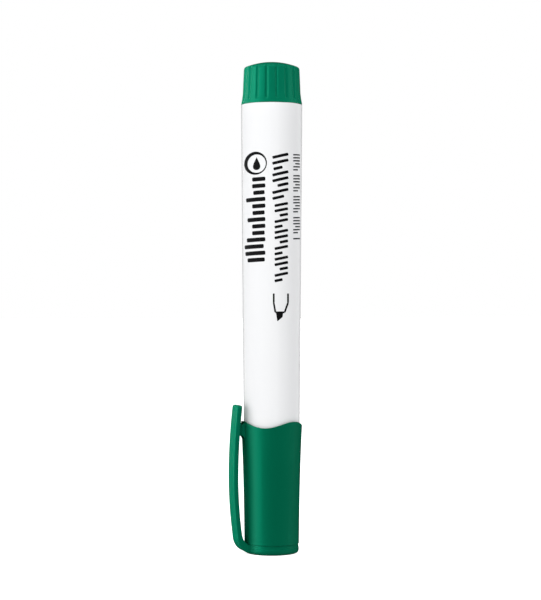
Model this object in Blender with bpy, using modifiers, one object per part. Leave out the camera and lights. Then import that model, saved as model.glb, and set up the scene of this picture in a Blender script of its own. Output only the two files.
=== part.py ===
"""A capped dry-wipe marker, standing on the closed end of its cap with its nib pointing down.

Sizes are in metres. Z runs along the marker, with 0 at the cap's closed end, and the clip
is on the -X side. Every turned piece is centred on the Z axis.
"""

import math

import bmesh
import bpy
from mathutils import Matrix, Vector

# The whole marker
overall_length = 0.137
clearance = 0.0003  # between pieces that touch, press or slide
turning_steps = 48  # sides of a round piece, a multiple of the cap's waves

# Barrel: a slightly tapered tube, widest at the end plug
barrel_radius = 0.00854
barrel_taper = 0.0081  # radius lost per unit of length towards the cap
barrel_wall = 0.0012

# Cap shell: a flared tube with a wavy open edge
cap_length = 0.0361  # closed end to the middle of the wave
cap_wall = 0.001
cap_lip = 0.0004  # thickness of the open edge, outside the barrel
cap_flare = 0.00068  # how much the mouth opens beyond the straight draft
cap_flare_power = 2.6
cap_draft = 0.0085
cap_waves = 3
cap_wave_height = 0.00082  # above and below the middle of the wave
cap_edge_band = 0.0015  # band below the wavy edge that the wave stretches
barrel_overlap = 0.0009  # of the barrel's foot, below the lowest point of the wave

# Cap end: a disc that closes the shell and carries the clip
disc_height = 0.00275
disc_corner = 0.0008
boss_height = 0.00245
boss_wall = 0.0011
disc_floor = 0.0014

# Clip: a bowed leaf that curls out of the disc, with a grip nub near the cap's mouth
clip_width = 0.0059
clip_thickness = 0.00125
clip_gap = 0.0026  # between the shell and the leaf at the crest of its bow
clip_crest = 0.0215
clip_overhang = 0.0054  # of the tip, beyond the middle of the wave
clip_tip_drop = 0.0012
clip_root_drop = 0.0011
clip_curl_height = 0.0052
clip_curl_reach = 0.0036
clip_curl_base = 0.00075
clip_corner = 0.0011
clip_tip_round = 0.0005  # of the outer face into the tip
nub_width = 0.0036
nub_length = 0.0043
nub_offset = 0.0003  # of the nub's upper end, beyond the middle of the wave

# Seal cup: keeps the nib from drying out
cup_wall = 0.0009
cup_length = 0.0165

# Front section: neck, seal land and nose in one moulding, pressed into the barrel
neck_play = 0.0004  # radial play between the neck and the cap's bore
neck_length = 0.0101
neck_chamfer = 0.0015
nose_length = 0.0025
nose_tip = 0.014  # height of the nose's opening above the cap's closed end
nose_wall = 0.0008
spigot_length = 0.008
spigot_wall = 0.0011
nib_sleeve = 0.0115  # length of the hole that holds the nib

# Nib: a felt rod with a chisel point
nib_radius = 0.0025
nib_reach = 0.0055  # beyond the nose
nib_blade = 0.0019  # thickness of the point
nib_bevel = 0.0045  # length of the two flats that thin the point
nib_slant = math.radians(28)
nib_in_filler = 0.0075

# Filler: ink-soaked fibre in a film wrap
filler_room = 0.0052  # empty length between the filler and the end plug
film_wall = 0.0002
socket_end = 0.0006  # room above the nib, inside the filler

# End plug: a domed, fluted head on a hollow spigot
plug_head = 0.0119
plug_top_radius = 0.0078
plug_foot_radius = 0.00807
plug_flare_height = 0.0032
plug_flare_power = 1.25
plug_shoulder = 0.0022  # height of the dome with its rounded edge
plug_edge = 0.0009
plug_spigot = 0.0115
plug_wall = 0.0011
plug_roof = 0.0022
flute_count = 18
flute_depth = 0.00026
flute_radius = 0.0006
flute_foot = 0.001  # plain rim below the flutes

# Places along the marker that several pieces share
barrel_foot = cap_length - cap_wave_height - barrel_overlap
barrel_top = overall_length - plug_head - clearance
disc_top = disc_height
shell_foot = disc_top + clearance
boss_top = disc_top + boss_height
cup_foot = boss_top + clearance
neck_top = barrel_foot - clearance
neck_foot = neck_top - neck_length
land_top = neck_foot - neck_chamfer
spigot_top = neck_top + spigot_length
filler_foot = spigot_top + clearance
plug_rim = barrel_top + clearance
plug_spigot_foot = plug_rim - plug_spigot
filler_top = plug_spigot_foot - filler_room
clip_tip = cap_length + clip_overhang


def barrel_outside(height):
    return barrel_radius - barrel_taper * (barrel_top - height)


def barrel_bore(height):
    return barrel_outside(height) - barrel_wall


mouth_bore = barrel_outside(cap_length + cap_wave_height) + clearance
mouth_radius = mouth_bore + cap_lip


def cap_outside(height):
    opening = 1 - (height / cap_length) ** cap_flare_power
    return mouth_radius - cap_draft * (cap_length - height) - cap_flare * opening


def cap_bore(height):
    return cap_outside(height) - cap_wall


disc_radius = cap_outside(shell_foot)
cup_outside = cap_bore(cup_foot) - clearance
cup_bore = cup_outside - cup_wall
land_radius = cup_bore - clearance
spigot_radius = barrel_bore(neck_top) - clearance
chamber_radius = spigot_radius - spigot_wall
nib_hole = nib_radius + clearance
film_outside = barrel_bore(filler_foot) - clearance
filler_radius = film_outside - film_wall - clearance
plug_spigot_radius = barrel_bore(plug_spigot_foot) - clearance
plug_hollow = plug_spigot_radius - plug_wall
plug_rim_radius = barrel_outside(barrel_top)


# ---- tools -------------------------------------------------------------------------------


def clear_scene():
    for obj in list(bpy.data.objects):
        bpy.data.objects.remove(obj)


def new_collection(name):
    collection = bpy.data.collections.new(name)
    bpy.context.scene.collection.children.link(collection)
    return collection


def plastic(name, colour, roughness, metallic=0.0):
    material = bpy.data.materials.new(name)
    material.use_nodes = True
    shader = material.node_tree.nodes["Principled BSDF"]
    shader.inputs["Base Color"].default_value = (*colour, 1)
    shader.inputs["Roughness"].default_value = roughness
    shader.inputs["Metallic"].default_value = metallic
    return material


def add_object(name, mesh, material, collection, parent=None):
    obj = bpy.data.objects.new(name, mesh)
    collection.objects.link(obj)
    mesh.materials.clear()
    mesh.materials.append(material)
    obj.parent = parent
    return obj


def as_cutter(obj):
    obj.hide_render = True
    obj.display_type = "WIRE"
    return obj


def boolean(obj, other, operation):
    modifier = obj.modifiers.new(other.name, "BOOLEAN")
    modifier.operation = operation
    modifier.object = other
    modifier.solver = "EXACT"


def evaluated_mesh(obj):
    bpy.context.view_layer.update()
    graph = bpy.context.evaluated_depsgraph_get()
    return bpy.data.meshes.new_from_object(obj.evaluated_get(graph))


def arc(centre, radius, start, end, steps):
    """Points on a circle in the plane of a profile, at angles in degrees."""
    angles = [math.radians(start + (end - start) * i / steps) for i in range(steps + 1)]
    return [
        (centre[0] + radius * math.cos(a), centre[1] + radius * math.sin(a)) for a in angles
    ]


def run(radius_at, start, end, steps):
    """Profile points whose radius follows a function of height."""
    heights = [start + (end - start) * i / steps for i in range(steps + 1)]
    return [(radius_at(height), height) for height in heights]


def turned(name, profile, material, collection, parent=None, closed=True, steps=turning_steps):
    """Turn a profile of (radius, height) about Z. It runs down the outside, then up any bore."""
    mesh = bpy.data.meshes.new(name)
    count = len(profile)
    edges = [(i, (i + 1) % count) for i in range(count if closed else count - 1)]
    mesh.from_pydata([(radius, 0, height) for radius, height in profile], edges, [])
    obj = add_object(name, mesh, material, collection, parent)
    screw = obj.modifiers.new("Turn", "SCREW")
    screw.steps = screw.render_steps = steps
    screw.use_merge_vertices = True
    screw.merge_threshold = 0.00001
    screw.use_smooth_shade = True
    return obj


def smooth_round(obj):
    obj.data.shade_smooth()
    obj.data.set_sharp_from_angle(angle=math.radians(30))


def side_plate(name, outline, width, material, collection):
    """A flat outline of (radius, height) on the clip's side, given a width along Y."""
    curve = bpy.data.curves.new(name, "CURVE")
    curve.dimensions = "2D"
    curve.fill_mode = "BOTH"
    curve.extrude = width / 2
    spline = curve.splines.new("POLY")
    spline.points.add(len(outline) - 1)
    for point, (radius, height) in zip(spline.points, outline):
        point.co = (-radius, height, 0, 1)
    spline.use_cyclic_u = True
    guide = bpy.data.objects.new(name + "_outline", curve)
    collection.objects.link(guide)
    guide.rotation_euler.x = math.radians(90)
    mesh = evaluated_mesh(guide)
    mesh.transform(guide.matrix_world)
    bpy.data.objects.remove(guide)
    weld(mesh)
    return add_object(name, mesh, material, collection)


def weld(mesh):
    work = bmesh.new()
    work.from_mesh(mesh)
    bmesh.ops.remove_doubles(work, verts=work.verts, dist=0.00001)
    bmesh.ops.recalc_face_normals(work, faces=work.faces)
    work.to_mesh(mesh)
    work.free()


def box(name, low, high, material, collection):
    """A cutting block between two corners."""
    mesh = bpy.data.meshes.new(name)
    work = bmesh.new()
    bmesh.ops.create_cube(work, size=1)
    low, high = Vector(low), Vector(high)
    bmesh.ops.scale(work, vec=high - low, verts=work.verts)
    bmesh.ops.translate(work, vec=(low + high) / 2, verts=work.verts)
    work.to_mesh(mesh)
    work.free()
    return as_cutter(add_object(name, mesh, material, collection))


# ---- barrel and what it holds ------------------------------------------------------------


def make_barrel(material, parts):
    top, foot = barrel_top, barrel_foot
    profile = [
        (barrel_outside(top), top),
        (barrel_outside(foot), foot),
        (barrel_bore(foot), foot),
        (barrel_bore(top), top),
    ]
    return turned("barrel", profile, material, parts)


def make_front_section(material, parts):
    """Outside from the spigot's top down to the nose, then up the nib hole and the chamber."""
    nose_radius = nib_hole + nose_wall
    sleeve_top = nose_tip + nib_sleeve

    def neck_outside(height):
        return cap_bore(height) - neck_play

    profile = [
        (spigot_radius, spigot_top),
        (spigot_radius, neck_top),
        *run(neck_outside, neck_top, neck_foot, 3),
        (land_radius, land_top),
        (land_radius, nose_tip + nose_length),
        (nose_radius, nose_tip),
        (nib_hole, nose_tip),
        (nib_hole, sleeve_top),
        (chamber_radius, sleeve_top + chamber_radius - nib_hole),
        (chamber_radius, spigot_top),
    ]
    return turned("front_section", profile, material, parts)


def make_nib(material, parts, cutters):
    """A rod, thinned to a blade by two sloping flats and cut off at a slant."""
    tip, top = nose_tip - nib_reach, filler_foot + nib_in_filler
    edge = nib_radius / 5
    profile = [(0, top), (nib_radius - edge, top), (nib_radius, top - edge)]
    profile += [(nib_radius, tip), (0, tip)]
    nib = turned("nib", profile, material, parts, closed=False, steps=24)
    reach = nib_radius * 4
    slope = math.atan((nib_radius - nib_blade / 2) / nib_bevel)
    for side, name in ((-1, "nib_flat_front"), (1, "nib_flat_back")):
        low = (-reach, min(0, side * reach), -reach)
        high = (reach, max(0, side * reach), reach)
        flat = box(name, low, high, material, cutters)
        flat.location = (0, side * nib_blade / 2, tip)
        flat.rotation_euler.x = -side * slope
        boolean(nib, flat, "DIFFERENCE")
    end = box("nib_end_cut", (-reach, -reach, -reach), (reach, reach, 0), material, cutters)
    end.location = (nib_radius, 0, tip)
    end.rotation_euler = (0, nib_slant, 0)
    boolean(nib, end, "DIFFERENCE")
    return nib


def make_filler(material, parts):
    socket_top = filler_foot + nib_in_filler + socket_end
    profile = [
        (0, filler_top),
        (filler_radius, filler_top),
        (filler_radius, filler_foot),
        (nib_hole, filler_foot),
        (nib_hole, socket_top),
        (0, socket_top),
    ]
    return turned("filler", profile, material, parts, closed=False)


def make_filler_film(material, parts):
    bore = film_outside - film_wall
    profile = [
        (film_outside, filler_top),
        (film_outside, filler_foot),
        (bore, filler_foot),
        (bore, filler_top),
    ]
    return turned("filler_film", profile, material, parts)


# ---- end plug ----------------------------------------------------------------------------


def plug_side(height):
    """Radius of the head's side: nearly straight, then flaring out to the barrel's edge."""
    flare_top = plug_rim + plug_flare_height
    if height >= flare_top:
        shoulder = overall_length - plug_shoulder
        share = (height - flare_top) / (shoulder - flare_top)
        return plug_foot_radius + (plug_top_radius - plug_foot_radius) * share
    share = (flare_top - height) / plug_flare_height
    return plug_foot_radius + (plug_rim_radius - plug_foot_radius) * share**plug_flare_power


def plug_profile():
    shoulder = overall_length - plug_shoulder
    edge_centre = (plug_top_radius - plug_edge, shoulder)
    edge = arc(edge_centre, plug_edge, 60, 0, 3)
    rim_radius, rim_height = edge[0]
    dome = [
        (rim_radius * share, overall_length - (overall_length - rim_height) * share**2)
        for share in (0, 0.25, 0.5, 0.75)
    ]
    flare_top = plug_rim + plug_flare_height
    spigot_edge = plug_wall / 3
    roof = overall_length - plug_roof
    return [
        *dome,
        *edge,
        *run(plug_side, flare_top, plug_rim, 4),
        (plug_spigot_radius, plug_rim),
        (plug_spigot_radius, plug_spigot_foot + spigot_edge),
        (plug_spigot_radius - spigot_edge, plug_spigot_foot),
        (plug_hollow, plug_spigot_foot),
        (plug_hollow, roof - plug_wall),
        (0, roof),
    ]


def make_end_plug(material, parts, cutters):
    steps = flute_count * 4
    plug = turned("end_plug", plug_profile(), material, parts, closed=False, steps=steps)
    foot = plug_rim + flute_foot
    top = overall_length - plug_shoulder
    lean = math.atan((plug_foot_radius - plug_top_radius) / (top - foot))
    length = overall_length - foot
    middle = (foot + overall_length) / 2
    offset = plug_side(middle) + flute_radius - flute_depth
    for i in range(flute_count):
        mesh = bpy.data.meshes.new(f"flute_{i}")
        work = bmesh.new()
        bmesh.ops.create_cone(
            work,
            cap_ends=True,
            segments=8,
            radius1=flute_radius,
            radius2=flute_radius,
            depth=length,
        )
        work.to_mesh(mesh)
        work.free()
        flute = as_cutter(add_object(f"flute_{i}", mesh, material, cutters))
        turn = Matrix.Rotation(2 * math.pi * i / flute_count, 4, "Z")
        place = Matrix.Translation((offset, 0, middle)) @ Matrix.Rotation(-lean, 4, "Y")
        flute.matrix_world = turn @ place
        boolean(plug, flute, "DIFFERENCE")
    return plug


# ---- cap ---------------------------------------------------------------------------------


def wave(angle):
    """Height of the cap's edge about its middle, highest beside the clip at 180 degrees."""
    return cap_wave_height * math.cos(cap_waves * (angle - math.pi))


def make_cap_shell(material, parts, parent):
    band = cap_length - cap_edge_band
    profile = [
        (mouth_radius, cap_length),
        *run(cap_outside, band, shell_foot, 8),
        *run(cap_bore, shell_foot, neck_top - clearance, 5),
        (mouth_bore, neck_top - clearance),
        (mouth_bore, cap_length),
    ]
    blank = turned("cap_blank", profile, material, parts)
    mesh = evaluated_mesh(blank)
    bpy.data.objects.remove(blank)
    for vertex in mesh.vertices:
        if vertex.co.z > cap_length - clearance:
            vertex.co.z += wave(math.atan2(vertex.co.y, vertex.co.x))
    weld(mesh)
    shell = add_object("cap_shell", mesh, material, parts, parent)
    smooth_round(shell)
    return shell


def make_cap_end(material, parts, parent):
    boss_radius = cap_bore(boss_top) - clearance
    hollow = boss_radius - boss_wall
    corner = (disc_radius - disc_corner, disc_corner)
    profile = [
        (0, disc_floor),
        (hollow, disc_floor),
        (hollow, boss_top),
        (boss_radius, boss_top),
        (boss_radius, disc_top),
        (disc_radius, disc_top),
        *arc(corner, disc_corner, 0, -90, 4),
        (0, 0),
    ]
    return turned("cap_end", profile, material, parts, parent, closed=False)


def make_seal_cup(material, parts, parent):
    top = cup_foot + cup_length
    floor = cup_foot + cup_wall
    profile = [
        (cup_outside, top),
        (cup_outside, cup_foot),
        (0, cup_foot),
    ]
    bore = [(0, floor), (cup_bore, floor), (cup_bore, top)]
    return turned("inner_cap", bore + profile, material, parts, parent, closed=False)


# ---- clip --------------------------------------------------------------------------------


def clip_outside(height):
    """Outer face of the leaf: a bow with its crest at clip_crest."""
    crest = cap_outside(clip_crest) + clip_gap + clip_thickness
    if height > clip_crest:
        share = (height - clip_crest) / (clip_tip - clip_crest)
        return crest - clip_tip_drop * share**2
    share = (clip_crest - height) / (clip_crest - clip_curl_height)
    return crest - clip_root_drop * share**2


def clip_inside(height):
    return clip_outside(height) - clip_thickness


def clip_root_radius():
    return disc_radius + clearance


def leaf_outline():
    """Side view of the leaf: down its outer face, round the curl, then up its inner face."""
    curl_radius = clip_outside(clip_curl_height)
    centre = curl_radius - clip_curl_reach
    drop = clip_curl_height - clip_curl_base
    curl = []
    for i in range(1, 10):
        angle = math.radians(9 * i)
        radius = centre + clip_curl_reach * math.cos(angle)
        curl.append((radius, clip_curl_height - drop * math.sin(angle)))
    inner_start = disc_top + clip_thickness
    inner_radius = clip_inside(inner_start)
    fillet = arc((inner_radius - clip_thickness / 2, disc_top + clip_thickness / 2),
                 clip_thickness / 2, -90, 0, 3)
    tip_foot = clip_tip - clip_tip_round
    tip = arc((clip_outside(tip_foot) - clip_tip_round, tip_foot), clip_tip_round, 90, 0, 3)
    return [
        *tip[:-1],
        *run(clip_outside, tip_foot, clip_curl_height, 10),
        *curl,
        (disc_radius - disc_corner, clip_curl_base),
        (disc_radius - disc_corner, disc_top),
        *fillet,
        *run(clip_inside, inner_start, clip_tip, 10),
    ]


def nub_outline():
    top = cap_length + nub_offset
    foot = top - nub_length
    inner = cap_bore(foot)
    outer = clip_outside(top) - clip_thickness / 2
    return [
        (outer, top),
        (outer, foot),
        (inner, foot),
        (inner, top),
    ]


def face_outline():
    """Front view of the leaf as (Y, height): straight sides and two rounded corners."""
    half, corner = clip_width / 2, clip_corner
    centre = half - corner
    return [
        (-half, 0),
        (half, 0),
        *arc((centre, clip_tip - corner), corner, 0, 90, 5),
        *arc((-centre, clip_tip - corner), corner, 90, 180, 5),
    ]


def make_clip(material, parts, cutters, parent, pivot):
    clip = side_plate("clip", leaf_outline(), clip_width, material, parts)
    depth = 4 * disc_radius
    face = side_plate("clip_face", face_outline(), depth, material, cutters)
    face.rotation_euler.z = math.radians(90)
    boolean(clip, as_cutter(face), "INTERSECT")
    nub = as_cutter(side_plate("clip_nub", nub_outline(), nub_width, material, cutters))
    boolean(clip, nub, "UNION")
    room_top = cap_length + 2 * cap_wave_height
    room = [
        (0, room_top),
        (mouth_radius + clearance, room_top),
        *run(lambda height: cap_outside(height) + clearance, cap_length, shell_foot, 8),
        (clip_root_radius(), shell_foot),
        (clip_root_radius(), -disc_corner),
        (0, -disc_corner),
    ]
    cutter = turned("clip_room", room, material, cutters, closed=False)
    boolean(clip, as_cutter(cutter), "DIFFERENCE")
    mesh = evaluated_mesh(clip)
    bpy.data.objects.remove(clip)
    weld(mesh)
    mesh.transform(Matrix.Translation(-pivot))
    return add_object("clip", mesh, material, parts, parent)


def main():
    clear_scene()
    parts = new_collection("whiteboard_marker")
    cutters = new_collection("cutters")

    green = plastic("green_plastic", (0.001, 0.215, 0.105), 0.38)
    white = plastic("white_plastic", (0.86, 0.87, 0.88), 0.3)
    seal = plastic("seal_plastic", (0.78, 0.8, 0.78), 0.5)
    felt = plastic("nib_felt", (0.01, 0.12, 0.06), 0.9)
    fibre = plastic("filler_fibre", (0.02, 0.2, 0.1), 0.95)
    film = plastic("film", (0.7, 0.75, 0.72), 0.2)

    cap_axis = bpy.data.objects.new("cap_axis", None)
    parts.objects.link(cap_axis)
    pivot = Vector((-clip_root_radius(), 0, (clip_curl_base + disc_top) / 2))
    clip_axis = bpy.data.objects.new("clip_axis", None)
    clip_axis.location = pivot
    clip_axis.parent = cap_axis
    parts.objects.link(clip_axis)

    make_barrel(white, parts)
    make_front_section(white, parts)
    make_nib(felt, parts, cutters)
    make_filler(fibre, parts)
    make_filler_film(film, parts)
    make_end_plug(green, parts, cutters)
    make_cap_shell(green, parts, cap_axis)
    make_cap_end(green, parts, cap_axis)
    make_seal_cup(seal, parts, cap_axis)
    make_clip(green, parts, cutters, clip_axis, pivot)


main()
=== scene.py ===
import bpy
import numpy as np
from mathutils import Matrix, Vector


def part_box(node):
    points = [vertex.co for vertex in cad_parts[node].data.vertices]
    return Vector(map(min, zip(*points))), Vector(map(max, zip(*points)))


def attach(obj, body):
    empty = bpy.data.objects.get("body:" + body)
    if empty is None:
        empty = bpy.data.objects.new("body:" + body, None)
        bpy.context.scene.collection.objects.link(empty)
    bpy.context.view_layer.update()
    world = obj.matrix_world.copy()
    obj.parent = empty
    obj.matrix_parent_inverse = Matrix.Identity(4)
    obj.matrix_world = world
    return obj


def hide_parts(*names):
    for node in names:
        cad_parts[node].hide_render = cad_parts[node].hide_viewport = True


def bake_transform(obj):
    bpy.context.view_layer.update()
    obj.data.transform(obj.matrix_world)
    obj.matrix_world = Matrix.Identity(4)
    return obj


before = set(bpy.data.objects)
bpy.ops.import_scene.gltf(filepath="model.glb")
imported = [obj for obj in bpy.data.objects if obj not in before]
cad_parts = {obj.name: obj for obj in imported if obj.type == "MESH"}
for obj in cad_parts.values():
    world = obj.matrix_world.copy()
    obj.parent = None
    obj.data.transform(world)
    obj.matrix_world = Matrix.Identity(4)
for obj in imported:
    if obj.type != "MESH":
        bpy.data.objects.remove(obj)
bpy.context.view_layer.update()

mm = 0.001
clipAngle = np.pi  # the clip is on the -X side


# Smooth step: 0 below a, 1 above b, 3t^2 - 2t^3 between them.
def easeStep(value, a, b):
    t = np.clip((value - a) / (b - a), 0, 1)
    return t * t * (3 - 2 * t)


# Corner points joined by straight runs, each corner eased by a quadratic curve between the two
# points that lie its fillet's length before and after it. Runs are cut into even pieces.
def softCorners(corners, fillets, steps=5, runSteps=1, closed=True):
    corners = np.asarray(corners, float)
    count = len(corners)
    t = np.linspace(0, 1, steps + 1)[:, None]
    bends = []
    for i in range(count):
        here = corners[i]
        if fillets[i] == 0 or (not closed and i in (0, count - 1)):
            bends.append(here[None])
            continue
        before = corners[i - 1] - here
        after = corners[(i + 1) % count] - here
        p = here + before * fillets[i] / np.linalg.norm(before)
        q = here + after * fillets[i] / np.linalg.norm(after)
        bends.append((1 - t) ** 2 * p + 2 * t * (1 - t) * here + t * t * q)
    path = [bends[0]]
    for i in range(1, count + (1 if closed else 0)):
        a, b = path[-1][-1], bends[i % count][0]
        share = np.linspace(0, 1, runSteps + 1)[1:-1, None]
        path.append(a + (b - a) * share)
        if i < count:
            path.append(bends[i])
    return np.concatenate(path)


# Faces of a grid of points: rows along the profile, columns round it.
def gridFaces(rows, columns, closeRows):
    i = np.arange(rows if closeRows else rows - 1)[:, None]
    j = np.arange(columns)[None, :]
    down, along = (i + 1) % rows, (j + 1) % columns
    quad = [i * columns + j, down * columns + j, down * columns + along, i * columns + along]
    return np.stack([np.broadcast_to(q, (len(i), columns)) for q in quad], -1).reshape(-1, 4)


# A closed skin from a grid. Open rows end in a single middle point at each end.
def skinArrays(grid, closeRows):
    rows, columns = grid.shape[:2]
    points = grid.reshape(-1, 3)
    faces = gridFaces(rows, columns, closeRows).tolist()
    if not closeRows:
        first, last = grid[0].mean(0), grid[-1].mean(0)
        points = np.vstack([points, first, last])
        j = np.arange(columns)
        k = (j + 1) % columns
        total = rows * columns
        lastRow = (rows - 1) * columns
        faces += np.stack([np.full(columns, total), j, k], -1).tolist()
        faces += np.stack([np.full(columns, total + 1), lastRow + k, lastRow + j], -1).tolist()
    return points, faces


def makeObject(name, skins, material):
    points, faces, offset = [], [], 0
    for skinPoints, skinFaces in skins:
        points.append(skinPoints)
        faces += [[v + offset for v in face] for face in skinFaces]
        offset += len(skinPoints)
    mesh = bpy.data.meshes.new(name)
    mesh.from_pydata(np.concatenate(points).tolist(), [], faces)
    mesh.materials.append(material)
    mesh.shade_smooth()
    mesh.set_sharp_from_angle(angle=np.radians(40))
    obj = bpy.data.objects.new(name, mesh)
    bpy.context.scene.collection.objects.link(obj)
    return obj


# A profile of (radius, height) turned about Z: x = r cos a, y = r sin a, z = h.
# shape may change radius and height as a function of both and of the angle.
def turnedGrid(profile, around, shape=None):
    angle = np.linspace(0, 2 * np.pi, around, endpoint=False)[None, :]
    radius = np.repeat(profile[:, :1], around, 1)
    height = np.repeat(profile[:, 1:], around, 1)
    if shape is not None:
        radius, height = shape(radius, height, angle)
    return np.stack([radius * np.cos(angle), radius * np.sin(angle), height], -1)


def turnedPiece(name, profile, material, around=144, shape=None, closed=True):
    grid = turnedGrid(np.asarray(profile, float), around, shape)
    return makeObject(name, [skinArrays(grid, closed)], material)


def newGroup(name, inputs, outputs):
    tree = bpy.data.node_groups.new(name, "ShaderNodeTree")
    for label, kind, default in inputs:
        socket = tree.interface.new_socket(name=label, in_out="INPUT", socket_type=kind)
        socket.default_value = default
    for label, kind in outputs:
        tree.interface.new_socket(name=label, in_out="OUTPUT", socket_type=kind)
    start = tree.nodes.new("NodeGroupInput")
    end = tree.nodes.new("NodeGroupOutput")
    return tree, start, end


def addNode(tree, kind, **settings):
    node = tree.nodes.new(kind)
    for key, value in settings.items():
        if key.startswith("in_"):
            node.inputs[key[3:].replace("_", " ")].default_value = value
        else:
            setattr(node, key, value)
    return node


# Moulded skin: a fine pebbled height, a slow cloud that shifts the colour, and hair-thin rub
# marks. Height = pebbles minus rubs, cloud and rub come out as masks.
def buildMouldSkin():
    tree, start, end = newGroup(
        "mouldSkin",
        [("Pebble Scale", "NodeSocketFloat", 2600.0), ("Cloud Scale", "NodeSocketFloat", 70.0),
         ("Rub Amount", "NodeSocketFloat", 0.5)],
        [("Height", "NodeSocketFloat"), ("Cloud", "NodeSocketFloat"), ("Rub", "NodeSocketFloat")])
    link = tree.links.new
    place = addNode(tree, "ShaderNodeTexCoord")
    pebble = addNode(tree, "ShaderNodeTexNoise", in_Detail=3.0, in_Roughness=0.55)
    link(place.outputs["Object"], pebble.inputs["Vector"])
    link(start.outputs["Pebble Scale"], pebble.inputs["Scale"])
    cloud = addNode(tree, "ShaderNodeTexNoise", in_Detail=2.0, in_Roughness=0.5)
    link(place.outputs["Object"], cloud.inputs["Vector"])
    link(start.outputs["Cloud Scale"], cloud.inputs["Scale"])
    stretch = addNode(tree, "ShaderNodeMapping")
    stretch.inputs["Rotation"].default_value = (0.5, 0.3, 0.2)
    stretch.inputs["Scale"].default_value = (900, 900, 40)
    link(place.outputs["Object"], stretch.inputs["Vector"])
    rubs = addNode(tree, "ShaderNodeTexNoise", in_Scale=1.0, in_Detail=2.0)
    link(stretch.outputs["Vector"], rubs.inputs["Vector"])
    thin = addNode(tree, "ShaderNodeMapRange", interpolation_type="SMOOTHSTEP")
    thin.inputs["From Min"].default_value = 0.66
    thin.inputs["From Max"].default_value = 0.74
    link(rubs.outputs["Fac"], thin.inputs["Value"])
    patchy = addNode(tree, "ShaderNodeMapRange", interpolation_type="SMOOTHSTEP")
    patchy.inputs["From Min"].default_value = 0.45
    patchy.inputs["From Max"].default_value = 0.65
    link(cloud.outputs["Fac"], patchy.inputs["Value"])
    rub = addNode(tree, "ShaderNodeMath", operation="MULTIPLY")
    link(thin.outputs["Result"], rub.inputs[0])
    link(patchy.outputs["Result"], rub.inputs[1])
    rubScaled = addNode(tree, "ShaderNodeMath", operation="MULTIPLY")
    link(rub.outputs[0], rubScaled.inputs[0])
    link(start.outputs["Rub Amount"], rubScaled.inputs[1])
    height = addNode(tree, "ShaderNodeMath", operation="SUBTRACT")
    link(pebble.outputs["Fac"], height.inputs[0])
    link(rubScaled.outputs[0], height.inputs[1])
    link(height.outputs[0], end.inputs["Height"])
    link(cloud.outputs["Fac"], end.inputs["Cloud"])
    link(rubScaled.outputs[0], end.inputs["Rub"])
    return tree


mouldSkin = buildMouldSkin()


# A moulded plastic: colour drifts between two tones, rubs go paler, roughness follows the cloud.
def mouldedPlastic(name, look):
    material = bpy.data.materials.new(name)
    material.use_nodes = True
    tree = material.node_tree
    link = tree.links.new
    shader = tree.nodes["Principled BSDF"]
    shader.inputs["IOR"].default_value = look["ior"]
    shader.inputs["Specular Tint"].default_value = (*look.get("sheenColour", (1, 1, 1)), 1)
    skin = addNode(tree, "ShaderNodeGroup", node_tree=mouldSkin)
    skin.inputs["Pebble Scale"].default_value = look["pebble"]
    skin.inputs["Cloud Scale"].default_value = look["cloud"]
    skin.inputs["Rub Amount"].default_value = look["rub"]
    tone = addNode(tree, "ShaderNodeMix", data_type="RGBA")
    tone.inputs[6].default_value = (*look["colour"], 1)
    tone.inputs[7].default_value = (*look["colourFar"], 1)
    link(skin.outputs["Cloud"], tone.inputs[0])
    worn = addNode(tree, "ShaderNodeMix", data_type="RGBA")
    worn.inputs[7].default_value = (*look["colourRubbed"], 1)
    link(skin.outputs["Rub"], worn.inputs[0])
    link(tone.outputs[2], worn.inputs[6])
    link(worn.outputs[2], shader.inputs["Base Color"])
    gloss = addNode(tree, "ShaderNodeMapRange")
    gloss.inputs["From Min"].default_value = 0.3
    gloss.inputs["From Max"].default_value = 0.7
    gloss.inputs["To Min"].default_value = look["roughness"][0]
    gloss.inputs["To Max"].default_value = look["roughness"][1]
    link(skin.outputs["Cloud"], gloss.inputs["Value"])
    link(gloss.outputs["Result"], shader.inputs["Roughness"])
    bump = addNode(tree, "ShaderNodeBump", in_Strength=look["bump"], in_Distance=look["bumpDepth"])
    link(skin.outputs["Height"], bump.inputs["Height"])
    link(bump.outputs["Normal"], shader.inputs["Normal"])
    return material


greenLook = {
    "colour": (0.0004, 0.080, 0.0405), "colourFar": (0.0006, 0.089, 0.0455),
    "colourRubbed": (0.006, 0.15, 0.09), "roughness": (0.30, 0.38), "ior": 1.5,
    "sheenColour": (0.0, 1.0, 0.58),
    "pebble": 2200.0, "cloud": 60.0, "rub": 0.25, "bump": 0.25, "bumpDepth": 0.00002,
}
whiteLook = {
    "colour": (0.80, 0.805, 0.815), "colourFar": (0.785, 0.79, 0.80),
    "colourRubbed": (0.74, 0.75, 0.76), "roughness": (0.13, 0.18), "ior": 1.5,
    "pebble": 2600.0, "cloud": 50.0, "rub": 0.3, "bump": 0.1, "bumpDepth": 0.00001,
}
sealLook = {
    "colour": (0.80, 0.80, 0.74), "colourFar": (0.72, 0.73, 0.68),
    "colourRubbed": (0.85, 0.85, 0.82), "roughness": (0.42, 0.52), "ior": 1.5,
    "pebble": 3000.0, "cloud": 90.0, "rub": 0.3, "bump": 0.3, "bumpDepth": 0.00002,
}
# The plug's green is a lighter copy of the cap's green: painted light for the brighter lighting the plug
# gets from above.
plugLitLook = dict(greenLook, colour=(0.0008, 0.113, 0.059), colourFar=(0.0012, 0.125, 0.067))
# The clip's green is a lighter copy as well: painted light for the left light falling on the clip's outer
# face.
clipLitLook = dict(greenLook, colour=(0.0006, 0.101, 0.052), colourFar=(0.0010, 0.112, 0.059))
green = mouldedPlastic("greenPlastic", greenLook)
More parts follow.
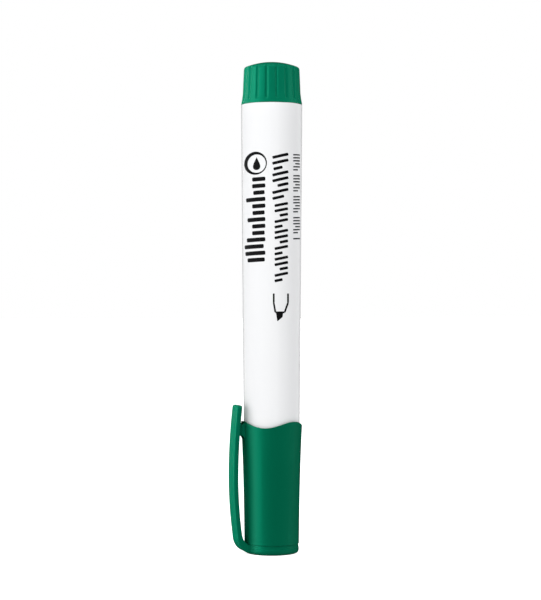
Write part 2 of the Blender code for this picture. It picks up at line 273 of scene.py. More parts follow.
# Lighter copies of the cap's green for the plug and the clip: painted light.
plugLitGreen = mouldedPlastic("plugLitPlastic", plugLitLook)
clipLitGreen = mouldedPlastic("clipLitPlastic", clipLitLook)
white = mouldedPlastic("whitePlastic", whiteLook)
sealWhite = mouldedPlastic("sealPlastic", sealLook)


# Fibre: strands along the marker, so noise stretched along Z drives colour and height.
def fibreMaterial(name, look):
    material = bpy.data.materials.new(name)
    material.use_nodes = True
    tree = material.node_tree
    link = tree.links.new
    shader = tree.nodes["Principled BSDF"]
    shader.inputs["Sheen Weight"].default_value = look["sheen"]
    shader.inputs["Sheen Roughness"].default_value = 0.5
    place = addNode(tree, "ShaderNodeTexCoord")
    stretch = addNode(tree, "ShaderNodeMapping")
    stretch.inputs["Scale"].default_value = (look["strands"], look["strands"], look["length"])
    link(place.outputs["Object"], stretch.inputs["Vector"])
    strands = addNode(tree, "ShaderNodeTexNoise", in_Scale=1.0, in_Detail=4.0, in_Roughness=0.6)
    link(stretch.outputs["Vector"], strands.inputs["Vector"])
    tone = addNode(tree, "ShaderNodeMix", data_type="RGBA")
    tone.inputs[6].default_value = (*look["colour"], 1)
    tone.inputs[7].default_value = (*look["colourFar"], 1)
    link(strands.outputs["Fac"], tone.inputs[0])
    link(tone.outputs[2], shader.inputs["Base Color"])
    dull = addNode(tree, "ShaderNodeMapRange")
    dull.inputs["To Min"].default_value = 0.75
    dull.inputs["To Max"].default_value = 0.95
    link(strands.outputs["Fac"], dull.inputs["Value"])
    link(dull.outputs["Result"], shader.inputs["Roughness"])
    bump = addNode(tree, "ShaderNodeBump", in_Strength=look["bump"], in_Distance=0.0001)
    link(strands.outputs["Fac"], bump.inputs["Height"])
    link(bump.outputs["Normal"], shader.inputs["Normal"])
    return material


nibFelt = fibreMaterial("nibFelt", {
    "colour": (0.004, 0.06, 0.03), "colourFar": (0.01, 0.16, 0.08), "strands": 5000.0,
    "length": 700.0, "sheen": 0.3, "bump": 0.5})
fillerFibre = fibreMaterial("fillerFibre", {
    "colour": (0.004, 0.10, 0.05), "colourFar": (0.03, 0.28, 0.16), "strands": 3500.0,
    "length": 120.0, "sheen": 0.4, "bump": 0.6})
print("materials made")


barrelLow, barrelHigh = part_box("barrel")
barrelSizes = {
    "taper": 0.0081,  # radius lost per unit of length
    "wall": 1.2 * mm,
    "edge": 0.12 * mm,
    "topGap": 0.24 * mm,  # how far the visible tube closes the clearance under the plug
    "around": 192,
}


def barrelRadius(height):
    return barrelHigh[0] - barrelSizes["taper"] * (barrelHigh[2] - height)


def makeBarrel():
    s = barrelSizes
    top, foot = barrelHigh[2] + s["topGap"], barrelLow[2]
    corners = [(barrelRadius(top), top), (barrelRadius(foot), foot),
               (barrelRadius(foot) - s["wall"], foot), (barrelRadius(top) - s["wall"], top)]
    profile = softCorners(corners, [s["edge"]] * 4, steps=4, runSteps=24)
    return turnedPiece("barrelTube", profile, white, s["around"])


barrel = makeBarrel()
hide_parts("barrel")
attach(barrel, "barrel")
print("barrel made")


# Each mark is drawn flat in millimetres, as seen from the front of the print, and laid on the
# barrel: angle = front + asin(across / r).
printSizes = {
    "front": -106.4, "proud": 0.02 * mm, "sunk": 0.06 * mm,
    "ring": {"centre": (-4.48, 108.3), "radius": 3.17, "hole": 2.52, "shift": (0.32, -0.12),
             "drop": (1.5, 1.75)},
    # rows of bars: heights of the first and last, count, thickness, lean in degrees, and where
    # each bar starts and ends across the row, in turn, with None for a gap
    "bold": {"rows": (103.9, 81.7), "count": 13, "thick": 1.12, "lean": 3,
             "ends": [(-5.4, -1.75), (-5.4, -1.75), (-5.1, -1.95), (-7.1, -1.75), (-5.4, -1.75),
                      (-5.3, -1.95), (-6.7, -1.75), (-5.4, -1.75), (-5.4, -1.95), (-6.9, -1.75),
                      (-7.5, -2.2), (-7.3, -1.75), (-6.7, -1.9)]},
    "upper": {"rows": (110.3, 99.0), "count": 8, "thick": 0.78, "lean": 14,
              "ends": [(0.2, 4.6), (0.2, 4.6), (0.5, 3.0), (0.2, 4.6), (0.2, 4.6), (1.6, 4.6),
                       (0.2, 4.6), (0.2, 3.4)]},
    "lower": {"rows": (96.9, 76.2), "count": 15, "thick": 0.74, "lean": 12,
              "ends": [(0.8, 4.5), (0.8, 4.5), (2.2, 4.5), (0.8, 4.5), (0.8, 3.0)]},
    "small": {"rows": (110.8, 87.6), "count": 29, "thick": 0.36, "lean": 5,
              "ends": [(5.95, 7.85), (5.95, 7.85), (5.95, 7.85), (6.5, 7.85), (5.95, 7.85),
                       (5.95, 7.3), None]},
    # chisel point: strokes as pairs of points, and a solid outline
    "strokes": [((0.56, 72.4), (0.56, 69.8)), ((0.56, 69.8), (1.02, 67.2)), ((4.5, 72.4), (4.5, 69.8)),
                ((4.5, 69.8), (3.56, 67.2)), ((1.02, 67.2), (3.56, 67.2))],
    "strokeThick": 0.5,
    "point": [(1.55, 64.7), (2.98, 65.9), (3.15, 67.1), (1.2, 67.1)],
}


# Lays flat points on the barrel at a height above its surface.
def onBarrel(flat, lift):
    radius = barrelRadius(flat[..., 1]) + lift
    angle = np.radians(printSizes["front"]) + np.arcsin(flat[..., 0] / radius)
    return np.stack([radius * np.cos(angle), radius * np.sin(angle), flat[..., 1]], -1)


# A solid mark: rings of its outline shrunk towards its centre, over the top and back below.
def inkPatch(outline):
    outline = np.asarray(outline) * mm
    centre = outline.mean(0)
    shares = np.array([0.05, 0.3, 0.55, 0.8, 1.0, 1.0, 0.6, 0.05])[:, None, None]
    lift = np.where(np.arange(8) < 5, printSizes["proud"], -printSizes["sunk"])[:, None]
    return skinArrays(onBarrel(centre + shares * (outline - centre), lift), False)


# A bar between two points, as a rounded rectangle.
def barOutline(start, end, thick):
    start, end = np.asarray(start, float), np.asarray(end, float)
    along = (end - start) / np.linalg.norm(end - start)
    half = np.array([-along[1], along[0]]) * thick / 2
    return softCorners([start - half, end - half, end + half, start + half],
                       [thick * 0.3] * 4, steps=3, runSteps=12)


# A ring between a circle and a smaller circle shifted inside it.
def ringPatch(s):
    t = np.linspace(0, 2 * np.pi, 72, endpoint=False)
    circle = np.stack([np.cos(t), np.sin(t)], -1)
    outer = (np.array(s["centre"]) + s["radius"] * circle) * mm
    inner = (np.array(s["centre"]) + np.array(s["shift"]) + s["hole"] * circle) * mm
    share = np.array([0, 0.33, 0.67, 1, 1, 0])[:, None, None]
    lift = np.where(np.arange(6) < 4, printSizes["proud"], -printSizes["sunk"])[:, None]
    return skinArrays(onBarrel(outer + (inner - outer) * share, lift)[:, ::-1], True)


# A drop: an ellipse that narrows towards its top, across = wide sin t (0.55 + 0.45 cos t).
def dropOutline(s):
    t = np.linspace(0, 2 * np.pi, 40, endpoint=False)
    wide, tall = s["drop"]
    drop = np.stack([wide * np.sin(t) * (0.55 + 0.45 * np.cos(t)), -tall * np.cos(t)], -1)
    return np.array(s["centre"]) + np.array(s["shift"]) + drop


def makePrint():
    s = printSizes
    skins = [ringPatch(s["ring"]), inkPatch(dropOutline(s["ring"]))]
    for row in ("bold", "upper", "lower", "small"):
        bars = s[row]
        heights = np.linspace(*bars["rows"], bars["count"])
        for i, height in enumerate(heights):
            ends = bars["ends"][i % len(bars["ends"])]
            if ends is None:
                continue
            slope = np.tan(np.radians(bars["lean"]))
            middle = (bars["ends"][0][0] + bars["ends"][0][1]) / 2
            points = [(x, height + (x - middle) * slope) for x in ends]
            skins.append(inkPatch(barOutline(*points, bars["thick"])))
    for start, end in s["strokes"]:
        skins.append(inkPatch(barOutline(start, end, s["strokeThick"])))
    skins.append(inkPatch(softCorners(s["point"], [0.12] * 4, steps=3, runSteps=4)))
    return makeObject("printMarks", skins, inkBlack)


# Printing ink: near black, with a slight unevenness in tone and gloss.
def inkMaterial():
    material = bpy.data.materials.new("printInk")
    material.use_nodes = True
    tree = material.node_tree
    link = tree.links.new
    shader = tree.nodes["Principled BSDF"]
    skin = addNode(tree, "ShaderNodeGroup", node_tree=mouldSkin)
    skin.inputs["Pebble Scale"].default_value = 5000.0
    skin.inputs["Cloud Scale"].default_value = 400.0
    skin.inputs["Rub Amount"].default_value = 0.4
    tone = addNode(tree, "ShaderNodeMix", data_type="RGBA")
    tone.inputs[6].default_value = (0.0015, 0.0015, 0.002, 1)
    tone.inputs[7].default_value = (0.005, 0.005, 0.006, 1)
    shader.inputs["Specular IOR Level"].default_value = 0.15
    link(skin.outputs["Cloud"], tone.inputs[0])
    link(tone.outputs[2], shader.inputs["Base Color"])
    gloss = addNode(tree, "ShaderNodeMapRange")
    gloss.inputs["To Min"].default_value = 0.35
    gloss.inputs["To Max"].default_value = 0.6
    link(skin.outputs["Cloud"], gloss.inputs["Value"])
    link(gloss.outputs["Result"], shader.inputs["Roughness"])
    bump = addNode(tree, "ShaderNodeBump", in_Strength=0.2, in_Distance=0.00001)
    link(skin.outputs["Height"], bump.inputs["Height"])
    link(bump.outputs["Normal"], shader.inputs["Normal"])
    return material


inkBlack = inkMaterial()
printMarks = makePrint()
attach(printMarks, "barrel")
print("print made")


plugLow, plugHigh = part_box("end_plug")
plugSizes = {
    "head": 11.9 * mm, "topRadius": 7.8 * mm, "footRadius": 8.07 * mm,
    "flareHeight": 3.2 * mm, "flarePower": 1.25, "shoulder": 2.2 * mm, "edge": 0.9 * mm,
    "spigotRadius": 6.94 * mm, "wall": 1.1 * mm,
    "flutes": 18, "fluteDepth": 0.28 * mm, "fluteWidth": 1.15 * mm, "flutePhase": 3.6,
    "fluteFoot": 1.0 * mm, "around": 432,
}


def makeEndPlug():
    s = plugSizes
    apex = plugHigh[2]
    rim = apex - s["head"]
    shoulder = apex - s["shoulder"]
    flareTop = rim + s["flareHeight"]

    # Side radius: a straight draft above the flare, and a power curve out to the barrel below it.
    def side(height):
        share = (shoulder - height) / (shoulder - flareTop)
        draft = s["topRadius"] + (s["footRadius"] - s["topRadius"]) * share
        drop = np.clip((flareTop - height) / s["flareHeight"], 0, 1)
        flare = s["footRadius"] + (barrelHigh[0] - s["footRadius"]) * drop ** s["flarePower"]
        return np.where(height > flareTop, draft, flare)

    # The edge is an arc, and the dome is a square law of the distance from the middle.
    edgeAngle = np.radians(np.linspace(62, 0, 9))
    edgeCentre = (s["topRadius"] - s["edge"], shoulder)
    edge = np.stack([edgeCentre[0] + s["edge"] * np.cos(edgeAngle),
                     edgeCentre[1] + s["edge"] * np.sin(edgeAngle)], -1)
    share = np.linspace(0.02, 1, 26)[:-1]
    dome = np.stack([edge[0, 0] * share, apex - (apex - edge[0, 1]) * share ** 2], -1)
    heights = np.linspace(shoulder, rim + 0.1 * mm, 56)[1:]
    sides = np.stack([side(heights), heights], -1)
    rimCorners = softCorners(
        [(side(rim + 0.1 * mm), rim + 0.1 * mm), (side(rim), rim), (s["spigotRadius"], rim),
         (s["spigotRadius"], plugLow[2]), (s["spigotRadius"] - s["wall"], plugLow[2]),
         (s["spigotRadius"] - s["wall"], apex - 3.3 * mm), (0.1 * mm, apex - 2.2 * mm)],
        [0, 0.06 * mm, 0.1 * mm, 0.35 * mm, 0.1 * mm, 0.6 * mm, 0], steps=4, closed=False)
    profile = np.concatenate([dome, edge, sides, rimCorners[1:]])

    # Flutes: narrow grooves in the side, each a smooth dip of the radius across its width.
    pitch = 2 * np.pi / s["flutes"]
    phase = clipAngle + np.radians(s["flutePhase"])

    def flute(radius, height, angle):
        away = np.abs((angle - phase + pitch / 2) % pitch - pitch / 2) * np.maximum(radius, mm)
        dip = 1 - easeStep(away, 0.05 * mm, s["fluteWidth"] / 2)
        band = easeStep(height, rim + s["fluteFoot"], rim + s["fluteFoot"] + 0.5 * mm)
        band = band * (1 - easeStep(height, shoulder + 0.45 * mm, shoulder + 0.85 * mm))
        outer = radius > s["spigotRadius"] + 0.1 * mm
        return radius - s["fluteDepth"] * dip * band * outer, height

    # The plug takes the lighter copy of the green, which is painted light.
    return turnedPiece("endPlug", profile, plugLitGreen, s["around"], flute, closed=False)


plug = makeEndPlug()
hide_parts("end_plug")
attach(plug, "plug")
print("end plug made")


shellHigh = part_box("cap_shell")[1]
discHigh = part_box("cap_end")[1]
capSizes = {
    "length": 36.1 * mm, "waveHeight": 0.82 * mm, "waves": 3, "waveReach": 9 * mm,
    "flare": 0.6 * mm, "flarePower": 2.6, "draft": 0.0085, "wall": 1.0 * mm, "lip": 0.4 * mm,
    "edge": 0.14 * mm, "discHeight": 2.75 * mm, "discCorner": 1.0 * mm, "bossHeight": 2.45 * mm,
    "slack": 0.003 * mm, "seam": 0.03 * mm, "seamEdge": 0.1 * mm, "neck": 0.1 * mm,
    "neckFoot": 1.75 * mm, "around": 288,
}


def capRadius(height):
    s = capSizes
    opening = 1 - (np.maximum(height, 0) / s["length"]) ** s["flarePower"]
    return shellHigh[0] - s["slack"] - s["draft"] * (s["length"] - height) - s["flare"] * opening


def makeCapShell():
    s = capSizes
    foot, mouth = discHigh[2] - s["bossHeight"] + s["seam"], s["length"]
    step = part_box("barrel")[0][2] - 0.6 * mm
    lipRadius = shellHigh[0] - s["lip"]
    topEdge = softCorners([(lipRadius, mouth - mm), (lipRadius, mouth), (capRadius(mouth), mouth),
                           (capRadius(mouth - mm), mouth - mm)],
                          [0, s["edge"], s["edge"], 0], steps=5, runSteps=2, closed=False)
    outerHeights = np.linspace(mouth - 1.2 * mm, foot + 0.2 * mm, 58)
    outer = np.stack([capRadius(outerHeights), outerHeights], -1)
    footEdge = softCorners([(capRadius(foot + 0.2 * mm), foot + 0.2 * mm), (capRadius(foot), foot),
                            (capRadius(foot) - s["wall"], foot),
                            (capRadius(foot) - s["wall"], foot + 0.2 * mm)],
                           [0, s["seamEdge"], 0.1 * mm, 0], steps=4, closed=False)
    innerHeights = np.linspace(foot + 0.3 * mm, step, 30)
    inner = np.stack([capRadius(innerHeights) - s["wall"], innerHeights], -1)
    stepEdge = np.array([(lipRadius - 0.05 * mm, step), (lipRadius, step + 0.05 * mm)])
    profile = np.concatenate([topEdge, outer, footEdge[1:], inner, stepEdge])

    # The edge rises and falls as a cosine with three crests, one beside the clip. The rise fades
    # out down the shell, and the outer radius follows the flare at the height that results.
    def wavy(radius, height, angle):
        rise = s["waveHeight"] * np.cos(s["waves"] * (angle - clipAngle))
        moved = height + rise * easeStep(height, mouth - s["waveReach"] * 0.22, mouth - 0.2 * mm)
        outside = radius > capRadius(height) - s["wall"] / 5
        spread = capRadius(moved) - capRadius(height)
        return np.where(outside, radius + spread, radius), moved

    return turnedPiece("capShell", profile, green, s["around"], wavy)


capShell = makeCapShell()
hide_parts("cap_shell")
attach(capShell, "cap")


def makeCapDisc():
    s = capSizes
    radius = discHigh[0]
    boss = capRadius(discHigh[2]) - s["wall"] - 0.3 * mm
    hollow = boss - 1.1 * mm
    # The top of the side is necked in a little, down to a narrow bevel.
    corners = [(0.05 * mm, 1.4 * mm), (hollow, 1.4 * mm), (hollow, discHigh[2]), (boss, discHigh[2]),
               (boss, s["discHeight"]), (radius - s["neck"], s["discHeight"]),
               (radius - s["neck"], s["neckFoot"]), (radius, s["neckFoot"] - s["neck"]), (radius, 0),
               (1.3 * mm, 0), (1.1 * mm, 0.12 * mm), (0.05 * mm, 0.12 * mm)]
    fillets = [0, 0.4 * mm, 0.15 * mm, 0.15 * mm, 0.1 * mm, s["seamEdge"] / 2, 0.03 * mm, 0.05 * mm,
               s["discCorner"] * 1.15,
               0.08 * mm, 0.08 * mm, 0]
    profile = softCorners(corners, fillets, steps=8, closed=False)
    return turnedPiece("capDisc", profile, green, s["around"], closed=False)


capDisc = makeCapDisc()
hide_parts("cap_end")
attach(capDisc, "cap")
print("cap made")


clipLow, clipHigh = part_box("clip")
clipSizes = {
    "width": 5.9 * mm, "thickness": 1.36 * mm, "crest": 21.5 * mm, "tipDrop": 1.2 * mm,
    "rootDrop": 1.1 * mm, "curlHeight": 5.2 * mm, "curlReach": 3.6 * mm, "curlBase": 0.5 * mm,
    "rootThickness": 2.1 * mm, "tipRound": 0.5 * mm, "tipBevel": 0.15 * mm, "corner": 1.1 * mm,
    "edge": 0.24 * mm, "nubWidth": 3.6 * mm, "nubEdge": 0.3 * mm,
    "nubLow": 32.9 * mm, "nubHigh": 36.0 * mm, "nubArch": 1.0 * mm, "nubDip": 0.4 * mm,
}


def makeClip():
    s = clipSizes
    crest = -clipLow[0]
    tip = clipHigh[2]

    # The outer face in side view. A bow: crest radius less a square law of the distance from the
    # crest. Then a quarter ellipse curls it in to the disc.
    def bow(height):
        above = (height - s["crest"]) / (tip - s["crest"])
        below = (s["crest"] - height) / (s["crest"] - s["curlHeight"])
        return crest - np.where(height > s["crest"], s["tipDrop"] * above ** 2, s["rootDrop"] * below ** 2)

    tipSteps = s["corner"] * (1 - np.cos(np.linspace(0, np.pi / 2, 10)))
    heights = np.concatenate([tip - tipSteps, np.linspace(tip - s["corner"], s["curlHeight"], 90)[1:]])
    curlStart = bow(np.array(s["curlHeight"]))
    turn = np.linspace(0, np.radians(84), 34)[1:]
    curl = np.stack([curlStart - s["curlReach"] * (1 - np.cos(turn)),
                     s["curlHeight"] - (s["curlHeight"] - s["curlBase"]) * np.sin(turn)], -1)
    inward = np.linspace(curl[-1, 0], curl[-1, 0] - 1.5 * mm, 5)[1:]
    path = np.concatenate([np.stack([bow(heights), heights], -1), curl,
                           np.stack([inward, np.full(4, curl[-1, 1])], -1)])
    path = np.concatenate([path[:1], path[1:-1] * 0.5 + (path[:-2] + path[2:]) * 0.25, path[-1:]])
    step = np.gradient(path, axis=0)
    step /= np.linalg.norm(step, axis=1)[:, None]
    outward = np.stack([-step[:, 1], step[:, 0]], -1)  # away from the barrel
    travel = np.concatenate([[0], np.cumsum(np.linalg.norm(np.diff(path, axis=0), axis=1))])

    # Half width and thickness along the path: both round off at the tip, and the leaf thickens
    # towards its root.
    inset = np.clip(s["corner"] - travel, 0, s["corner"])
    halfWidth = s["width"] / 2 - s["corner"] + np.sqrt(s["corner"] ** 2 - inset ** 2)
    edge = s["edge"]
    swell = easeStep(path[:, 1], s["curlHeight"] + mm, s["curlBase"] + 0.3 * mm)
    thickness = s["thickness"] + (s["rootThickness"] - s["thickness"]) * swell

    # Quarter rounds take the outer face, and a little of the inner one, into the end of the tip.
    def endRound(size):
        return size - np.sqrt(size ** 2 - np.clip(size - travel, 0, size) ** 2)

    outerCut, innerCut = endRound(s["tipRound"]), endRound(s["tipBevel"])
    thickness = thickness - outerCut - innerCut

    quarter = np.linspace(0, np.pi / 2, 6)
    bend = np.concatenate([quarter + k * np.pi / 2 for k in range(4)])[None, :]
    signs = np.repeat([[1, 1], [-1, 1], [-1, -1], [1, -1]], 6, 0)
    across = signs[:, 0] * (halfWidth[:, None] - edge) + edge * np.cos(bend)
    halfThick = thickness[:, None] / 2
    through = signs[:, 1] * np.maximum(halfThick - edge, 0) + np.minimum(edge, halfThick) * np.sin(bend)
    middle = path - outward * (outerCut + thickness / 2)[:, None]
    radial = middle[:, :1] + outward[:, :1] * through
    height = middle[:, 1:] + outward[:, 1:] * through
    leaf = np.stack([-radial, across, height], -1)

    # The nub reaches from the leaf to the shell. Its lower face arches up in the middle and its
    # upper face dips: height changes by a cube law of the distance from the middle.
    u = np.linspace(0, 1, 16)[:, None]
    low = s["nubLow"] - s["nubArch"] * np.abs(2 * u - 1) ** 3
    high = s["nubHigh"] + s["nubDip"] * np.abs(2 * u - 1) ** 3
    outer = bow(np.array((s["nubLow"] + s["nubHigh"]) / 2)) - s["thickness"] * 0.6
    nubEdge = s["nubEdge"]
    acrossNub = signs[:, 0] * (s["nubWidth"] / 2 - nubEdge) + nubEdge * np.cos(bend) + 0 * u
    upNub = (low + high) / 2 + signs[:, 1] * ((high - low) / 2 - nubEdge) + nubEdge * np.sin(bend)
    shell = capRadius(upNub) + 0.04 * mm
    inner = np.sqrt(np.maximum(shell ** 2 - acrossNub ** 2, 0))
    radialNub = outer + (inner - outer) * u
    nub = np.stack([-radialNub, acrossNub, upNub], -1)
    # The clip takes the lighter copy of the green, which is painted light.
    return makeObject("clipLeaf", [skinArrays(leaf, False), skinArrays(nub[:, ::-1], False)], clipLitGreen)


clip = makeClip()
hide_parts("clip")
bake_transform(clip)
print("clip made")


# The pieces that the cap and the barrel hide.
frontLow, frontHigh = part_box("front_section")
cupLow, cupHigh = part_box("inner_cap")
nibLow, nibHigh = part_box("nib")
fillerLow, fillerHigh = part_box("filler")
filmLow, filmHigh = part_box("filler_film")
innerSizes = {
    "neckTop": 34.1 * mm, "neckFoot": 24.0 * mm, "landTop": 22.5 * mm, "landFoot": 16.5 * mm,
    "noseRadius": 3.6 * mm, "nibHole": 2.8 * mm, "sleeve": 11.5 * mm, "neckPlay": 0.4 * mm,
    "spigotWall": 1.1 * mm, "cupWall": 0.9 * mm, "blade": 1.9 * mm, "bevel": 4.5 * mm,
    "slant": 28, "filmWall": 0.2 * mm, "neckBead": 31.2 * mm,
}


def makeFrontSection():
    s = innerSizes
    spigot = barrelRadius(s["neckTop"]) - barrelSizes["wall"] - 0.3 * mm
    chamber = spigot - s["spigotWall"]
    land = cupHigh[0] - s["cupWall"] - 0.3 * mm
    sleeveTop = frontLow[2] + s["sleeve"]
    top = frontHigh[2]

    # The neck follows the cap's bore.
    def neckAt(height):
        return capRadius(height) - capSizes["wall"] - s["neckPlay"]

    bead = s["neckBead"]
    corners = [(spigot, top), (spigot, s["neckTop"]), (neckAt(s["neckTop"]), s["neckTop"]),
               (neckAt(bead + mm), bead + mm),
               (neckAt(bead - mm), bead - mm),
               (neckAt(s["neckFoot"]), s["neckFoot"]), (land, s["landTop"]), (land, s["landFoot"]),
               (s["noseRadius"], frontLow[2]), (s["nibHole"], frontLow[2]), (s["nibHole"], sleeveTop),
               (chamber, sleeveTop + chamber - s["nibHole"]), (chamber, top)]
    fillets = [0.1 * mm, 0.1 * mm, 0.2 * mm, 0.5 * mm, 0.5 * mm, 0.6 * mm, 0.5 * mm, 0.6 * mm,
               0.3 * mm, 0.15 * mm, 0.2 * mm, 0.2 * mm, 0.1 * mm]
    profile = softCorners(corners, fillets, steps=5, runSteps=6)
    return turnedPiece("frontSection", profile, white, 144)


front = makeFrontSection()
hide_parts("front_section")
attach(front, "barrel")


# The nib: circles carried along Z. Near the point the Y half is held inside two sloping flats,
# and the end circle is sheared to a slant, rounded a little at its rim.
def makeNib():
    s = innerSizes
    radius = nibHigh[1]
    tip, top = nibLow[2], nibHigh[2]
    along = np.concatenate([np.linspace(0, s["bevel"] * 1.3, 40), np.linspace(0.2, 1, 12) * (top - tip)])
    along = np.unique(along)[::-1]
    angle = np.linspace(0, 2 * np.pi, 96, endpoint=False)[None, :]
    rise = along[:, None]
    x = radius * np.cos(angle) + 0 * rise
    y = radius * np.sin(angle) + 0 * rise
    low = (radius - x) * np.tan(np.radians(s["slant"]))
    height = tip + low + rise * (1 - low / (top - tip))
    half = s["blade"] / 2 + (radius - s["blade"] / 2) * (height - tip) / s["bevel"]
    y = np.clip(y, -half, half)
    soft = 0.35 * mm
    pull = np.clip(1 - rise / soft, 0, 1)
    shrink = 1 - 0.14 * pull ** 2
    topPull = np.clip(1 - (top - height) / (0.5 * mm), 0, 1)
    shrink = shrink * (1 - 0.18 * topPull ** 2)
    grid = np.stack([x * shrink, y * shrink, height], -1)
    return makeObject("nibRod", [skinArrays(grid, False)], nibFelt)


nib = makeNib()
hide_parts("nib")
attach(nib, "barrel")


def makeFiller():
    s = innerSizes
    radius = fillerHigh[0]
    low, high = fillerLow[2], fillerHigh[2]
    socket = nibHigh[2] + 0.6 * mm
    corners = [(0.05 * mm, high), (radius, high), (radius, low), (s["nibHole"], low),
               (s["nibHole"], socket), (0.05 * mm, socket)]
    profile = softCorners(corners, [0, 0.3 * mm, 0.3 * mm, 0.2 * mm, 0.2 * mm, 0], runSteps=10, closed=False)

    # Bundled fibre isn't quite round: shallow ridges run along it.
    def ridged(r, height, angle):
        ripple = 0.03 * mm * np.sin(37 * angle + 2 * np.sin(3 * angle)) - 0.03 * mm
        return np.where(r > radius * 0.9, r + ripple, r), height

    return turnedPiece("fillerRod", profile, fillerFibre, 240, ridged, closed=False)


filler = makeFiller()
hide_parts("filler")
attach(filler, "barrel")


def makeFilm():
    s = innerSizes
    radius = filmHigh[0]
    low, high = filmLow[2], filmHigh[2]
    inner = radius - s["filmWall"]
    corners = [(radius, high), (radius, low), (inner, low), (inner, high)]
    profile = softCorners(corners, [0.04 * mm] * 4, steps=2, runSteps=12)
    return turnedPiece("fillerFilm", profile, filmClear, 144)


filmLook = dict(sealLook, colour=(0.55, 0.66, 0.60), colourFar=(0.50, 0.62, 0.56), roughness=(0.12, 0.2))
filmClear = mouldedPlastic("fillerFilm", filmLook)
film = makeFilm()
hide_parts("filler_film")
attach(film, "barrel")


def makeSealCup():
    s = innerSizes
    radius = cupHigh[0]
    bore = radius - s["cupWall"]
    low, high = cupLow[2], cupHigh[2]
    floor = low + s["cupWall"]
    corners = [(0.05 * mm, floor), (bore, floor), (bore, high), (radius, high), (radius, low),
               (0.05 * mm, low)]
    fillets = [0, 0.5 * mm, 0.25 * mm, 0.2 * mm, 0.6 * mm, 0]
    profile = softCorners(corners, fillets, steps=6, runSteps=6, closed=False)
    return turnedPiece("sealCup", profile, sealWhite, 144, closed=False)


cup = makeSealCup()
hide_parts("inner_cap")
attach(cup, "seal")
print("inner pieces made")


def areaLight(name, place, target, size, power, diffuse=True, glossy=True):
    data = bpy.data.lights.new(name, "AREA")
    data.shape = "RECTANGLE"
    data.size, data.size_y = size
    data.energy = power
    light = bpy.data.objects.new(name, data)
    light.visible_diffuse = diffuse
    light.visible_glossy = glossy
    bpy.context.scene.collection.objects.link(light)
    aim(light, place, target)
    return light


def aim(obj, place, target):
    obj.location = place
    obj.rotation_euler = (Vector(target) - Vector(place)).to_track_quat("-Z", "Y").to_euler()


cameraSizes = {
    "azimuth": -16.4, "distance": 0.495, "height": 70.6 * mm, "lens": 106.2, "side": -0.33 * mm,
}


def makeCamera():
    s = cameraSizes
    turn = np.radians(s["azimuth"])
    back = np.array([np.sin(turn), -np.cos(turn), 0])
    right = np.array([np.cos(turn), np.sin(turn), 0])
    data = bpy.data.cameras.new("camera")
    data.lens = s["lens"]
    data.clip_start = 0.01
    camera = bpy.data.objects.new("camera", data)
    bpy.context.scene.collection.objects.link(camera)
    centre = right * s["side"] + np.array([0, 0, s["height"]])
    aim(camera, centre + back * s["distance"], centre)
    bpy.context.scene.camera = camera
    return back, right


back, right = makeCamera()


def stageSurface():
    material = bpy.data.materials.new("stageWhite")
    material.use_nodes = True
    shader = material.node_tree.nodes["Principled BSDF"]
    shader.inputs["Base Color"].default_value = (0.85, 0.85, 0.85, 1)
    shader.inputs["Roughness"].default_value = 0.9
    shader.inputs["Emission Color"].default_value = (1, 1, 1, 1)
    seen = addNode(material.node_tree, "ShaderNodeLightPath")
    glow = addNode(material.node_tree, "ShaderNodeMath", operation="MULTIPLY")
    glow.inputs[1].default_value = 0.9
    material.node_tree.links.new(seen.outputs["Is Camera Ray"], glow.inputs[0])
    material.node_tree.links.new(glow.outputs[0], shader.inputs["Emission Strength"])
    mesh = bpy.data.meshes.new("floor")
    half = 6.0
    corners = [(-half, -half, 0), (half, -half, 0), (half, half, 0), (-half, half, 0)]
    mesh.from_pydata(corners, [], [(0, 1, 2, 3)])
    mesh.materials.append(material)
    floor = bpy.data.objects.new("floor", mesh)
    floor.visible_glossy = False
    bpy.context.scene.collection.objects.link(floor)


stageSurface()


# Places a light by its bearing from the camera's side of the marker, its height and distance.
def lightPlace(bearing, distance, height):
    turn = np.radians(bearing)
    flat = back * np.cos(turn) + right * np.sin(turn)
    return tuple(flat * distance + np.array([0, 0, height]))


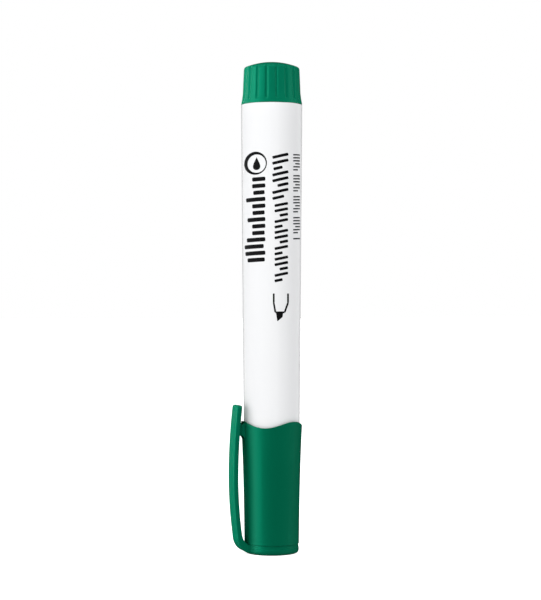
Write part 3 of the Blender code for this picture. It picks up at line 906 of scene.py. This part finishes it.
# Softboxes round the marker. The left ones on the green pieces are strong, and the white pieces
# get gentler ones so that they keep their shading under the white backdrop.
lightRig = {
    "greenBackLeft": {"on": "green", "bearing": -130, "wide": 0.3, "power": 11.4, "glossy": False},
    "greenLeft": {"on": "green", "bearing": -82, "wide": 0.45, "power": 5.5, "glossy": False},
    "greenFront": {"on": "green", "bearing": -30, "wide": 0.3, "power": 1.4, "glossy": False},
    "greenRight": {"on": "green", "bearing": 90, "wide": 0.3, "power": 4.1, "glossy": False},
    "greenShine": {"on": "green", "bearing": -62, "wide": 0.42, "power": 2.1, "glossy": True},
    "paleBackLeft": {"on": "pale", "bearing": -148, "wide": 0.3, "power": 2.6, "glossy": False},
    "paleLeft": {"on": "pale", "bearing": -92, "wide": 0.06, "power": 0.72, "glossy": False},
    "paleFront": {"on": "pale", "bearing": -8, "wide": 0.3, "power": 0.95, "glossy": False},
    "paleBackRight": {"on": "pale", "bearing": 138, "wide": 0.3, "power": 4.9, "glossy": False},
    "paleShineFront": {"on": "pale", "bearing": -15, "wide": 1.2, "power": 2.4, "glossy": True},
    "paleShineLeft": {"on": "pale", "bearing": -105, "wide": 1.2, "power": 2.4, "glossy": True},
}
softbox = {"distance": 0.6, "height": 0.10, "tall": 0.6, "tallPanel": 1.0}
topLight = {"bearing": -20, "distance": 0.3, "height": 0.75, "size": (0.5, 0.5), "power": 4.4}

receivers = {
    "green": [plug, capShell, capDisc, clip],
    "pale": [barrel, printMarks, front, nib, filler, film, cup],
}
receiverSets = {}
for label, pieces in receivers.items():
    receiverSets[label] = bpy.data.collections.new(label + "Lit")
    for piece in pieces:
        receiverSets[label].objects.link(piece)

for name, s in lightRig.items():
    place = lightPlace(s["bearing"], softbox["distance"], softbox["height"])
    tall = softbox["tallPanel"] if s["wide"] > 1 else softbox["tall"]
    light = areaLight(name, place, (0, 0, 0.07), (s["wide"], tall), s["power"], not s["glossy"], s["glossy"])
    light.light_linking.receiver_collection = receiverSets[s["on"]]
s = topLight
place = lightPlace(s["bearing"], s["distance"], s["height"])
areaLight("top", place, (0, 0, 0.07), s["size"], s["power"], True, False)

ambient = 0.6
world = bpy.data.worlds.new("studio")
world.use_nodes = True
backdrop = world.node_tree.nodes["Background"]
backdrop.inputs["Color"].default_value = (1, 1, 1, 1)
# The camera sees the backdrop white, and the marker gets only a little light from it.
seen = addNode(world.node_tree, "ShaderNodeLightPath")
glow = addNode(world.node_tree, "ShaderNodeMapRange")
glow.inputs["To Min"].default_value = ambient
glow.inputs["To Max"].default_value = 1.0
world.node_tree.links.new(seen.outputs["Is Camera Ray"], glow.inputs["Value"])
world.node_tree.links.new(glow.outputs["Result"], backdrop.inputs["Strength"])
world.cycles_visibility.glossy = False
bpy.context.scene.world = world
bpy.context.scene.view_settings.view_transform = "Standard"
print("stage set")
